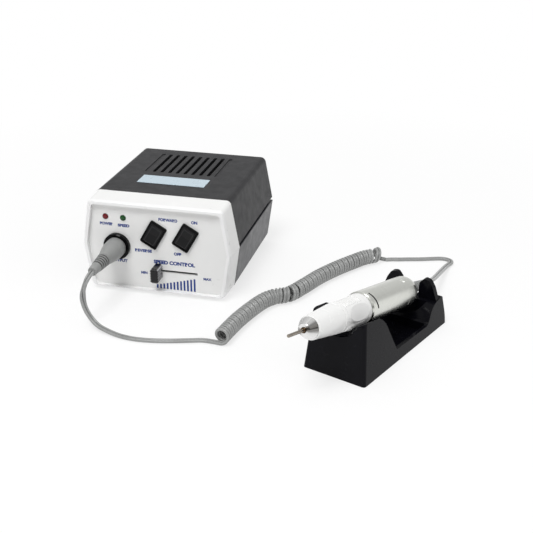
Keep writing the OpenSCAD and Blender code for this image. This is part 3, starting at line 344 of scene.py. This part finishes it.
def rocker_plastic(name, x):
    """Black rocker with a fine raised border on its face, the border also drawn lighter as a painted
    highlight.
    """
    half_wide, half_long = 4.3, 6.6
    look = Look(name, 0.4, specular=0.2)
    middle = panel(x, SWITCH_Z)
    cos, sin = math.cos(SWITCH_LEAN), math.sin(SWITCH_LEAN)
    across = look.calc("ABSOLUTE", look.along(middle, (cos, 0.0, -sin)))
    length = look.calc("ABSOLUTE", look.along(middle, (sin, 0.0, cos)))
    edge = look.largest(look.calc("SUBTRACT", across, half_wide * MM),
                        look.calc("SUBTRACT", length, half_long * MM))
    border_and_highlight = look.span(look.calc("ABSOLUTE", edge), 1.0, 0.0, 0.15 * MM, 0.4 * MM)
    cloud = look.clouds(linear((22, 22, 23)), linear((26, 26, 27)))
    # The border's lighter colour is a painted highlight; the relief below is real
    look.colour(look.mix(border_and_highlight, cloud, linear((50, 50, 51))))
    look.gloss(0.34, 0.46)
    relief = look.calc("ADD", border_and_highlight, look.calc("MULTIPLY", look.noise(1800.0, 2.0), 0.2))
    look.bump(relief, 0.3, depth=0.2)
    return look.material


def knob_plastic():
    """Black knob, with a painted highlight on the upper flanks of its grip ribs."""
    look = Look("knob_black", 0.18, specular=0.35)
    lowest_rib = panel(SLIDER_X, SLIDER_Z - KNOB_H / 2 + KNOB_RIM)
    sideways = look.calc("ABSOLUTE", look.along(lowest_rib, (1.0, 0.0, 0.0)))
    at_side = look.span(sideways, 0.0, 1.0, 1.7 * MM, 2.5 * MM)
    behind_face = look.span(look.along(lowest_rib, (0.0, -1.0, 0.0)), 1.0, 0.0, 11.2 * MM, 11.6 * MM)
    rib_share = look.calc("FRACT", look.calc("DIVIDE", look.along(lowest_rib, tuple(UP)), RIB_STEP * MM))
    upper_flank = look.span(rib_share, 0.0, 1.0, 0.6, 0.72)
    painted_rib_highlight = look.calc("MULTIPLY", look.calc("MULTIPLY", at_side, behind_face), upper_flank)
    cloud = look.clouds(linear((11, 11, 12)), linear((15, 15, 16)), scale=200.0)
    # Painted highlight on the upward-facing rib flanks at the knob's side
    look.colour(look.mix(painted_rib_highlight, cloud, linear((172, 172, 175))))
    look.gloss(0.14, 0.24, scale=300.0)
    look.grain(1800.0, 0.04)
    return look.material


def cord_plastic():
    """Soft grey cord, with painted shade between its cores and between its curls."""
    look = Look("cord_grey", 0.3, specular=0.6)
    colour = look.clouds(linear((146, 147, 146)), linear((158, 159, 158)), scale=70.0)
    # Painted shade in the grooves between cores and curls
    look.colour(look.painted_groove_shade(colour, 1.2, (66, 67, 66)))
    look.gloss(0.25, 0.36, scale=400.0, detail=3.0)
    look.grain(2200.0, 0.05)
    return look.material


def printed(name, rgb):
    """Printing ink, a little uneven."""
    look = Look(name, 0.42)
    base = linear(rgb)
    look.colour(look.clouds(shaded(base, 0.85), base, scale=1500.0, detail=3.0))
    look.grain(3000.0, 0.03, depth=0.1)
    return look.material


COVER = plastic("cover_charcoal", (49, 49, 51), 0.42, grain=0.16, grain_scale=2300.0, shade=0.88,
                specular=0.12)
BASE = base_plastic()
WHITE = plastic("white_gloss", (240, 240, 239), 0.24, grain=0.015, shade=0.985, coat=0.3)
BLACK = plastic("black_gloss", (7, 7, 8), 0.14, grain=0.03, grain_scale=1800.0, specular=0.1)
DIRECTION = rocker_plastic("rocker_black_left", DIRECTION_X)
POWER = rocker_plastic("rocker_black_right", POWER_X)
KNOB = knob_plastic()
RUBBER = plastic("rubber_black", (24, 24, 25), 0.7, grain=0.12, specular=0.3)
STAND = plastic("stand_black", (11, 11, 16), 0.24, grain=0.04, grain_scale=1500.0, specular=0.05, coat=0.1)
# Plug and boots: their groove colour is painted shade in the rib grooves
GREY = plastic("plug_grey", (150, 151, 150), 0.45, grain=0.2, grain_scale=900.0, groove=(40, 41, 40))
FRONT = front_plastic()
CORD = cord_plastic()
RED = lens("lens_red", (112, 8, 20), deep=(60, 5, 10))
GREEN = lens("lens_green", (14, 76, 26), deep=(8, 40, 14))
ALUMINIUM = turned_metal("aluminium_turned", (226, 227, 221), 0.24, streak=0.72, lines=2600.0, strength=0.03,
                         spread=0.04)
# Polished nose cone, with a painted reflection that darkens the sides of its axis
POLISHED = turned_metal("steel_polished", (240, 240, 239), 0.2, streak=0.8, lines=3600.0, strength=0.02,
                        spread=0.03, painted_dark_reflection=(112, 110, 107))
STEEL = bare_metal("steel_plain", (168, 169, 171), 0.3)
PIN = bare_metal("pin_steel", (158, 150, 140), 0.25)
COLLET = bare_metal("collet_bronze", (120, 98, 74), 0.38)
BRASS = bare_metal("brass", (196, 168, 96), 0.32)
COPPER = plastic("winding_lacquer", (150, 96, 42), 0.3, grain=0.3, grain_scale=900.0)
LAMINATED = bare_metal("laminated_iron", (96, 92, 88), 0.5, scale=900.0)
BOARD = plastic("board_green", (38, 92, 52), 0.4, grain=0.05)
BLUE_CAN = plastic("sleeve_blue", (36, 54, 110), 0.3, grain=0.03)
CARBON = plastic("carbon_black", (26, 26, 27), 0.6, grain=0.1)
INK = printed("ink_blue", (6, 52, 134))
PLATE = plastic("plate_pale", (190, 208, 219), 0.3, grain=0.01, shade=0.985, coat=0.3)

MATERIALS = {
    COVER: "top_cover rear_panel",
    BASE: "base_shell",
    FRONT: "front_panel",
    WHITE: "front_sleeve twist_ring",
    RUBBER: "foot_front_left foot_front_right foot_rear_left foot_rear_right lock_ring",
    BLACK: "output_socket direction_switch_frame power_switch_frame foot_pedal_jack fuse_holder "
           "mains_gland brush_holder",
    DIRECTION: "direction_rocker",
    POWER: "power_rocker",
    KNOB: "slider_knob",
    STAND: "cradle",
    RED: "power_led",
    GREEN: "speed_led",
    BOARD: "indicator_board control_board",
    CARBON: "power_transistor rectifier carbon_brushes motor_magnets slide_potentiometer",
    BLUE_CAN: "capacitor",
    BRASS: "switch_terminals commutator plug_contacts",
    STEEL: "case_screws transformer_screws slider_lever spindle_housing front_bearing rear_bearing "
           "motor_can spindle coupling",
    PIN: "test_pin",
    COLLET: "collet",
    LAMINATED: "transformer_core",
    COPPER: "transformer_winding armature",
    ALUMINIUM: "collar barrel rear_cap heat_sink",
    POLISHED: "nose_cone",
    GREY: "plug_body plug_boot handpiece_boot",
    CORD: "cord_lead cord_curl cord_tail",
}
for material, names in MATERIALS.items():
    for name in names.split():
        nodes[name].data.materials.clear()
        nodes[name].data.materials.append(material)


# Making pieces

def mesh_piece(name, points, faces, material, body, smooth=False):
    data = bpy.data.meshes.new(name)
    data.from_pydata([tuple(p) for p in points], [], faces)
    data.materials.append(material)
    if smooth:
        data.polygons.foreach_set("use_smooth", [True] * len(data.polygons))
    data.update()
    piece = bpy.data.objects.new(name, data)
    scene.collection.objects.link(piece)
    if body:
        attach(piece, body)
    return piece


def band(start, count=4):
    """Faces between the ring of points that begins at start and the next ring, of count points each."""
    pairs = [(start + j, start + (j + 1) % count) for j in range(count)]
    return [(a, b, b + count, a + count) for a, b in pairs]


# The cord: a flat twin lead, two round cores side by side, in millimetres

CORD_W = 4.8
CORD_T = 2.5
CORE_R = 1.19
CORE_APART = 2.42
WEB = 0.3
CURLS = 33
PITCH = 6.17
CURL_R = 5.35
CURL_Z = CURL_R + CORD_T / 2
# On the curls the cores stand further apart
CURL_SPREAD = 0.78
# Two neighbouring curls and the last one are drawn open
OPEN_CURLS = (14.35, 15.35)
OPEN_GAP = 1.1
LAST_GAP = 5.0
# How finely the cord is divided
STEPS = 6
AXIS_STEPS = 12
RINGS_PER_CURL = 28
POINTS_PER_CORE = 14
# Half the stretch over which the direction of the curls is taken
REACH = 4.0

LEAD_ROOT = (-118.5, -42.0, 39.5)
LEAD = [(-118.5, -43.5, 39.5), (-118.5, -48.5, 39), (-119.5, -52, 36.5), (-121, -54, 32),
        (-122, -55.5, 26.5), (-121.5, -57, 20.5), (-119, -58.5, 14), (-114, -60.5, 8), (-107, -63.5, 4),
        (-96.5, -67, 2), (-86, -70, 1.3), (-74, -71.5, 1.3), (-61.5, -70.5, 1.3), (-47.5, -67.5, 1.3),
        (-34, -63.5, 1.3), (-25, -61, 1.3)]
CURL_LINE = [(-10.5, -62), (-5.4, -31.6), (3.4, -0.8), (11.3, 12.9), (22.3, 21), (30.7, 38.4), (38.6, 57.7),
             (46.7, 73.1), (54.7, 86.3), (62.4, 97.5), (68.8, 106.5), (75.5, 112.5), (80.3, 116.8),
             (82.6, 122.5), (84.5, 130), (86.5, 138)]
TAIL = [(92, 121.5, 1.3), (98.5, 123, 1.3), (106, 125.2, 1.3), (116.5, 128, 1.3), (126, 131.3, 1.3),
        (133, 133.5, 1.3), (138, 133.5, 1.3), (142, 131, 1.3), (143, 126, 1.5), (141, 118.5, 2.3),
        (139, 107, 4.5), (136.4, 83, 10), (134.2, 58, 16.5), (132.3, 45, 20.1)]
TAIL_ROOT = 2.0


def ease(x):
    x = min(max(x, 0.0), 1.0)
    return x * x * (3 - 2 * x)


def spline(points, steps):
    """A smooth curve through points."""
    p = [Vector(q) for q in points]
    made = []
    for i in range(len(p) - 1):
        a, b, c, d = p[max(i - 1, 0)], p[i], p[i + 1], p[min(i + 2, len(p) - 1)]
        for k in range(steps):
            f = k / steps
            made.append((2 * b + (c - a) * f + (2 * a - 5 * b + 4 * c - d) * f * f
                         + (3 * b - a - 3 * c + d) * f ** 3) / 2)
    return made + [p[-1]]


class Line:
    """A curve by length along it."""

    def __init__(self, points):
        self.points = points
        self.lengths = [0.0]
        for a, b in zip(points, points[1:]):
            self.lengths.append(self.lengths[-1] + (b - a).length)

    def at(self, length):
        i = 0
        while i < len(self.points) - 2 and self.lengths[i + 1] < length:
            i += 1
        share = (length - self.lengths[i]) / (self.lengths[i + 1] - self.lengths[i])
        return self.points[i].lerp(self.points[i + 1], min(max(share, 0.0), 1.0))


curl_axis = Line(spline([(x, y, CURL_Z) for x, y in CURL_LINE], AXIS_STEPS))


def curl_dir(length):
    return (curl_axis.at(length + REACH) - curl_axis.at(max(length - REACH, 0))).normalized()


def curl_right(length):
    return curl_dir(length).cross(UP)


def curl_length(n):
    """How far along their axis the curls have come after n turns."""
    opened = sum(ease(n - k) for k in OPEN_CURLS)
    return n * PITCH + OPEN_GAP * opened + LAST_GAP * ease(n - CURLS + 1)


def curl_foot(length, step):
    """A place under the curls, step to their right."""
    return curl_axis.at(length) - UP * CURL_R + curl_right(length) * step


def twin_section():
    """Outline of the two cores and the web between them: side, and place about the core's middle."""
    sweep = 180 - math.degrees(math.asin(WEB / 2 / CORE_R))
    turns = [math.radians(-sweep + 2 * sweep * k / POINTS_PER_CORE) for k in range(POINTS_PER_CORE + 1)]
    right = [(1, CORE_R * math.cos(a), CORE_R * math.sin(a)) for a in turns]
    return right + [(-1, -x, -y) for side, x, y in right]


SECTION = twin_section()


def tube(name, rings, body):
    """Skin over rings of (middle, across, through, how far the cores stand apart beyond the plain cord)."""
    points, faces = [], []
    n = len(SECTION)
    for middle, across, through, spread in rings:
        core = (CORE_APART + spread) / 2
        points += [(middle + across * (side * core + x) + through * y) * MM for side, x, y in SECTION]
    for i in range(len(rings) - 1):
        faces += band(i * n, n)
    for start, turn in ((0, -1), ((len(rings) - 1) * n, 1)):
        for half in (range(0, n // 2), range(n // 2, n)):
            face = [start + j for j in half]
            faces.append(tuple(face[::turn]))
        web = [start, start + n // 2 - 1, start + n // 2, start + n - 1]
        faces.append(tuple(web[::-turn]))
    piece = mesh_piece(name, points, faces, CORD, body, smooth=True)
    made = bmesh.new()
    made.from_mesh(piece.data)
    bmesh.ops.recalc_face_normals(made, faces=made.faces)
    made.to_mesh(piece.data)
    made.free()
    return piece


def lying(points):
    """Rings of a stretch that lies with its broad side down."""
    rings = []
    for i, p in enumerate(points):
        run = (points[min(i + 1, len(points) - 1)] - points[max(i - 1, 0)]).normalized()
        across = UP.cross(run).normalized()
        rings.append((p, across, run.cross(across), 0.0))
    return rings


def curl_rings():
    rings = []
    for k in range(CURLS * RINGS_PER_CURL + 1):
        n = k / RINGS_PER_CURL
        length = curl_length(n)
        angle = 2 * math.pi * n
        out = curl_right(length) * math.sin(angle) - UP * math.cos(angle)
        spread = CURL_SPREAD * ease(n) * ease(CURLS - n)
        rings.append((curl_axis.at(length) + out * CURL_R, curl_dir(length), -out, spread))
    return rings


# The lead runs on one curve into the first curl, and the tail starts where the last curl ends
lead_line = spline(LEAD + [tuple(curl_foot(0, -CORD_W)), tuple(curl_foot(0, 0))], STEPS)[:-STEPS]
lead_line.insert(0, Vector(LEAD_ROOT))
curl_end = curl_length(CURLS)
last_ring = (curl_foot(curl_end, CORD_W), curl_dir(curl_end), UP, 0.0)
lead_rings = lying(lead_line) + curl_rings() + [last_ring]
lead = tube("cord_curled", lead_rings, "set")
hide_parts("cord_lead", "cord_curl")

boot_end = TIP + HAND * CORD_END_T
tail_points = [curl_foot(curl_end, 0), curl_foot(curl_end, CORD_W)] + [Vector(p) for p in TAIL]
tail_points += [boot_end + HAND * CORD_W, boot_end, boot_end - HAND * TAIL_ROOT]
tail_rings = lying(spline(tail_points, STEPS)[STEPS:])
tail = tube("cord_tail_lead", tail_rings, None)
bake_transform(tail)
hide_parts("cord_tail")


# Print on the panel: words and the rising bars

INK_THICK = 0.04
LETTER_BOLD = 0.058
LETTER_DEPTH = 0.01

# Each word with its left and right ends, the height of its middle and the height of its letters
WORDS = [("POWER", -48.2, -36.8, 57.9, 2.6), ("SPEED", -32.8, -22.8, 57.5, 2.6),
         ("FORWARD", 2.2, 18.0, 65.7, 2.7), ("REVERSE", -19.2, -4.6, 37.2, 2.7),
         ("ON", 29.4, 34.6, 65.6, 2.7), ("OFF", 14.0, 20.3, 37.0, 2.7),
         ("SPEED CONTROL", -3.5, 31.6, 28.5, 3.4), ("MIN", -14.9, -9.4, 17.6, 2.3),
         ("MAX", 38.4, 45.3, 17.4, 2.3), ("OUTPUT", -41.0, -26.2, 26.5, 2.7)]

BARS = 12
BAR_W = 1.55
BARS_LEFT = -1.9
BARS_RIGHT = 31.5
BAR_FOOT_Z = 5.0
FIRST_BAR_Z = 8.4
LAST_BAR_Z = 16.3
BAR_RISE = 1.1


def word(text, left, right, z, height):
    """One printed word between two places on the panel, with its middle at height z."""
    data = bpy.data.curves.new("print", "FONT")
    data.body = text
    data.offset = LETTER_BOLD
    data.extrude = LETTER_DEPTH
    made = bpy.data.objects.new("print", data)
    scene.collection.objects.link(made)
    bpy.context.view_layer.update()
    shape = bpy.data.meshes.new_from_object(made.evaluated_get(bpy.context.evaluated_depsgraph_get()))
    bpy.data.objects.remove(made)
    xs = [v.co.x for v in shape.vertices]
    ys = [v.co.y for v in shape.vertices]
    wide, tall = max(xs) - min(xs), max(ys) - min(ys)
    points = []
    for v in shape.vertices:
        x = left + (v.co.x - min(xs)) / wide * (right - left)
        up = z + ((v.co.y - min(ys)) / tall - 0.5) * height
        points.append(panel(x, up, INK_THICK if v.co.z > 0 else 0.0))
    name = "print_" + text.lower().replace(" ", "_")
    return mesh_piece(name, points, [tuple(p.vertices) for p in shape.polygons], INK, "set")


def bars():
    """A row of bars that rise from left to right."""
    points, faces = [], []
    for i in range(BARS):
        share = i / (BARS - 1)
        x = BARS_LEFT + (BARS_RIGHT - BARS_LEFT - BAR_W) * share
        top = FIRST_BAR_Z + (LAST_BAR_Z - FIRST_BAR_Z) * share ** BAR_RISE
        corners = ((x, BAR_FOOT_Z), (x + BAR_W, BAR_FOOT_Z), (x + BAR_W, top), (x, top))
        start = len(points)
        for out in (0.0, INK_THICK):
            points += [panel(*corner, out) for corner in corners]
        faces.append(tuple(start + k for k in (4, 5, 6, 7)))
        faces.append(tuple(start + k for k in (3, 2, 1, 0)))
        faces += band(start)
    return mesh_piece("print_bars", points, faces, INK, "set")


for words in WORDS:
    word(*words)
bars()


# A bare plate on the cover

PLATE_X = (-31.0, 27.4)
PLATE_Y = (23.5, 41.6)
PLATE_THICK = 0.4
PLATE_EDGE = 0.35


def plate():
    """Thin plate with a bevelled edge."""
    points = []
    for inset, z in ((0.0, 0.0), (0.0, PLATE_THICK - PLATE_EDGE / 2), (PLATE_EDGE, PLATE_THICK)):
        left, right = PLATE_X[0] + inset, PLATE_X[1] - inset
        near, far = PLATE_Y[0] + inset, PLATE_Y[1] - inset
        for x, y in ((left, near), (right, near), (right, far), (left, far)):
            points.append(Vector((BOX.x + x, BOX.y + y, TOP_Z + z)) * MM)
    faces = band(0) + band(4) + [(8, 9, 10, 11), (3, 2, 1, 0)]
    return mesh_piece("bare_plate", points, faces, PLATE, "set")


plate()


# Painted shade: a dark strip set into the slanted slot of the collar stands in for the shade inside it

SLOT_T = 77.4
SLOT_TURN = math.radians(228)
SLOT_SLOPE = math.radians(11)
SLOT_LENGTH = 12.9
SLOT_W = 1.6
SHADE_STRIP_IN_R = 11.93
SHADE_STRIP_OUT_R = 12.22
SHADE_STRIP_ROWS = 24


def slot_shade_strip():
    """A dark strip bent round the handpiece axis: painted shade for the inside of the slot."""
    cos, sin = math.cos(SLOT_SLOPE), math.sin(SLOT_SLOPE)
    half = SLOT_W / 2
    corners = ((-half, SHADE_STRIP_IN_R), (half, SHADE_STRIP_IN_R), (half, SHADE_STRIP_OUT_R), (-half, SHADE_STRIP_OUT_R))
    points, faces = [], []
    for k in range(SHADE_STRIP_ROWS + 1):
        along = (k / SHADE_STRIP_ROWS - 0.5) * SLOT_LENGTH
        for across, radius in corners:
            angle = SLOT_TURN + math.asin((along * cos - across * sin) / radius)
            middle = TIP + HAND * (SLOT_T + along * sin + across * cos)
            points.append((middle + (DOWN * math.cos(angle) + SIDE * math.sin(angle)) * radius) * MM)
    for k in range(SHADE_STRIP_ROWS):
        faces += band(4 * k)
    faces += [(3, 2, 1, 0), tuple(4 * SHADE_STRIP_ROWS + j for j in range(4))]
    return mesh_piece("slot_painted_shade", points, faces, RUBBER, "handpiece")


# The dark strip is painted shade in the collar's slot
slot_shade_strip()


# Floor, light and background, in metres

FLOOR_HALF = 6.0
FLOOR_Z = -0.0002
FLOOR_NEAR = 0.22
FLOOR_FAR = 0.6
FLOOR_GLOW = 0.7
FLOOR_COLOUR = (0.93, 0.93, 0.93, 1.0)
WHITE_LIGHT = (1.0, 1.0, 1.0, 1.0)
LIGHT_TARGET = (0.0, 0.0, 0.03)


def floor():
    """Pale floor: as seen, partly its own white, and wholly so away from the set."""
    corners = [(x * FLOOR_HALF, y * FLOOR_HALF, FLOOR_Z) for x, y in ((-1, -1), (1, -1), (1, 1), (-1, 1))]
    data = bpy.data.meshes.new("floor")
    data.from_pydata(corners, [], [(0, 1, 2, 3)])
    made = bpy.data.objects.new("floor", data)
    scene.collection.objects.link(made)
    look = Look("floor", 0.9, specular=0.0)
    look.shader.inputs["Base Color"].default_value = FLOOR_COLOUR
    share = look.span(look.vector("LENGTH", look.place), FLOOR_GLOW, 1.0, FLOOR_NEAR, FLOOR_FAR)
    rays = look.add("ShaderNodeLightPath").outputs
    seen = look.largest(rays["Is Camera Ray"], rays["Is Glossy Ray"], rays["Is Transmission Ray"])
    both = look.add("ShaderNodeMixShader")
    look.link(look.calc("MULTIPLY", seen, share), both.inputs["Fac"])
    look.link(look.shader.outputs["BSDF"], both.inputs[1])
    look.link(look.add("ShaderNodeEmission").outputs["Emission"], both.inputs[2])
    look.link(both.outputs["Shader"], look.tree.nodes["Material Output"].inputs["Surface"])
    data.materials.append(look.material)


def studio(front, back, ceiling):
    """Soft light from all round: dim in front, a pale wall behind, bright overhead.

    As a background it is white, and so is the low backdrop that metal mirrors.
    """
    world = bpy.data.worlds.new("studio")
    world.use_nodes = True
    scene.world = world
    sky = Tree(world.node_tree)
    parts = sky.add("ShaderNodeSeparateXYZ")
    sky.link(sky.add("ShaderNodeTexCoord").outputs["Generated"], parts.inputs[0])
    wall = sky.span(parts.outputs["Y"], front, back, start=-0.3, end=1.0)
    level = sky.span(parts.outputs["Z"], wall, ceiling, start=0.3, end=0.9)
    backdrop = sky.span(parts.outputs["Z"], 1.0, 0.0, start=0.1, end=0.25)
    rays = sky.add("ShaderNodeLightPath").outputs
    mirrored = sky.calc("MULTIPLY", rays["Is Glossy Ray"], backdrop)
    background = sky.tree.nodes["Background"].inputs
    strength = sky.largest(rays["Is Camera Ray"], rays["Is Transmission Ray"], mirrored, level)
    sky.link(strength, background["Strength"])
    background["Color"].default_value = WHITE_LIGHT


def softbox(name, place, size, power):
    data = bpy.data.lights.new(name, "AREA")
    data.shape = "RECTANGLE"
    data.size = size
    data.size_y = size
    data.energy = power
    made = bpy.data.objects.new(name, data)
    made.location = place
    made.rotation_euler = (Vector(LIGHT_TARGET) - Vector(place)).to_track_quat("-Z", "Y").to_euler()
    scene.collection.objects.link(made)


floor()
studio(front=0.15, back=0.72, ceiling=0.8)
softbox("key", (-0.2, -0.85, 1.75), size=0.7, power=19.0)
softbox("fill", (1.4, -0.4, 0.9), size=0.9, power=2.5)

scene.view_settings.view_transform = "Standard"
